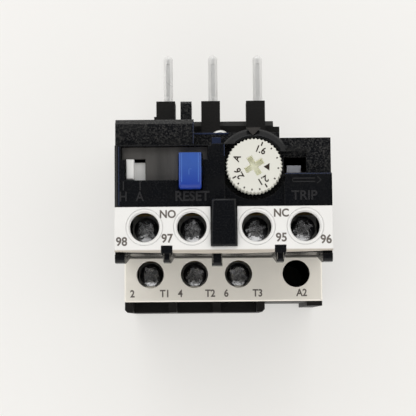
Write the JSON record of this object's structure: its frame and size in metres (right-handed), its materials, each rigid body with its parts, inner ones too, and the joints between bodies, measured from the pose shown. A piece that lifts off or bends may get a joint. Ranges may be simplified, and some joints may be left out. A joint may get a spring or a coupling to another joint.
{
  "type": "thermal overload relay",
  "caption": "Thermal overload relay with plug-in contact pins, current dial, reset button, mode selector and trip mechanism.",
  "frame": {"origin": "middle of the back face, under the middle of the overall box", "axes": "+X to the right seen from the front, +Y along the contact pins, +Z out of the front face"},
  "size_m": [0.0454, 0.0577, 0.0635],
  "materials": {
    "front_black": "bluish black, satin gloss with fine mould texture",
    "rear_black": "brownish black, matt",
    "white_cover": "warm white, smooth",
    "cream_cover": "cream white, smooth",
    "plate_grey": "dark grey, scratched",
    "button_blue": "royal blue, smooth",
    "dial_white": "ivory white, knurled rim",
    "selector_white": "white, smooth",
    "flag_grey": "light grey",
    "zinc_screw": "zinc plated, darkened",
    "plated_steel": "plated steel",
    "pin_silver": "silver plated, bright",
    "contact_brass": "brass sheet",
    "bimetal": "rolled strip",
    "heater_ribbon": "resistance ribbon",
    "mechanism_plastic": "tan moulded plastic"
  },
  "bodies": {
    "housing": {"rear_cover": "rear_black", "case_screws": "zinc_screw", "rear_housing": "rear_black", "power_terminal_block": "rear_black", "power_terminal_cover": "cream_cover", "front_housing": "front_black", "control_terminal_cover": "white_cover", "guide_plate": "plate_grey", "front_screw": "zinc_screw", "power_wire_clamps": "plated_steel", "power_terminal_screws": "zinc_screw", "control_wire_clamps": "plated_steel", "control_terminal_screws": "zinc_screw", "trip_lever_pin": "plated_steel", "reset_spring": "plated_steel", "contact_pin_1": "pin_silver", "bimetal_strip_1": "bimetal", "heater_winding_1": "heater_ribbon", "power_terminal_1": "contact_brass", "contact_pin_2": "pin_silver", "bimetal_strip_2": "bimetal", "heater_winding_2": "heater_ribbon", "power_terminal_2": "contact_brass", "contact_pin_3": "pin_silver", "bimetal_strip_3": "bimetal", "heater_winding_3": "heater_ribbon", "power_terminal_3": "contact_brass", "control_terminal_98": "contact_brass", "control_terminal_97": "contact_brass", "control_terminal_95": "contact_brass", "control_terminal_96": "contact_brass"},
    "dial": {"setting_dial": "dial_white"},
    "setting_slide": {"setting_slide": "mechanism_plastic", "fulcrum_pin": "plated_steel"},
    "lever": {"compensating_lever": "plated_steel", "compensating_bimetal": "bimetal"},
    "push_bar": {"push_bar": "mechanism_plastic"},
    "pull_bar": {"pull_bar": "mechanism_plastic"},
    "trip_lever": {"trip_lever": "mechanism_plastic"},
    "contact_carrier": {"contact_carrier": "mechanism_plastic", "nc_contact_bridge": "contact_brass", "no_contact_bridge": "contact_brass"},
    "trip_flag": {"trip_flag": "flag_grey"},
    "mode_selector": {"mode_selector": "selector_white"},
    "reset_button": {"reset_button": "button_blue"}
  },
  "joints": [
    {"name": "dial_turn", "type": "hinge", "parent": "housing", "child": "dial", "pos_m": [0.0065, 0.00126, 0.06], "axis": [0, 0, 1], "range_deg": [0, 242]},
    {"name": "setting_travel", "type": "slide", "parent": "housing", "child": "setting_slide", "axis": [1, 0, 0], "range_m": [0, 0.0012]},
    {"name": "lever_swing", "type": "hinge", "parent": "setting_slide", "child": "lever", "pos_m": [0.0145, 0.00126, 0.0406], "axis": [0, 1, 0], "range_deg": [-4.5, 0]},
    {"name": "push_travel", "type": "slide", "parent": "housing", "child": "push_bar", "axis": [1, 0, 0], "range_m": [0, 0.0015], "stiffness_N_per_m": 200},
    {"name": "pull_travel", "type": "slide", "parent": "housing", "child": "pull_bar", "axis": [1, 0, 0], "range_m": [0, 0.0015]},
    {"name": "trip_lever_swing", "type": "hinge", "parent": "housing", "child": "trip_lever", "pos_m": [0.0146, -0.0036, 0.054], "axis": [0, 1, 0], "range_deg": [0, 11]},
    {"name": "carrier_travel", "type": "slide", "parent": "housing", "child": "contact_carrier", "axis": [1, 0, 0], "range_m": [-0.00125, 0]},
    {"name": "flag_travel", "type": "slide", "parent": "housing", "child": "trip_flag", "axis": [1, 0, 0], "range_m": [0, 0.0006]},
    {"name": "selector_travel", "type": "slide", "parent": "housing", "child": "mode_selector", "axis": [1, 0, 0], "range_m": [0, 0.0023]},
    {"name": "button_travel", "type": "slide", "parent": "housing", "child": "reset_button", "axis": [0, 0, -1], "range_m": [0, 0.002], "stiffness_N_per_m": 300, "springref_m": -0.001, "deforming": ["reset_spring"]}
  ],
  "couplings": [
    {"joint": "dial_turn", "follows": "setting_travel", "rad_per_m": 3519.7},
    {"joint": "lever_swing", "follows": "push_travel", "rad_per_m": -52.36},
    {"joint": "pull_travel", "follows": "push_travel", "ratio": 1},
    {"joint": "trip_lever_swing", "follows": "push_travel", "rad_per_m": 127.99},
    {"joint": "carrier_travel", "follows": "push_travel", "ratio": -0.83333},
    {"joint": "flag_travel", "follows": "push_travel", "ratio": 0.4}
  ]
}
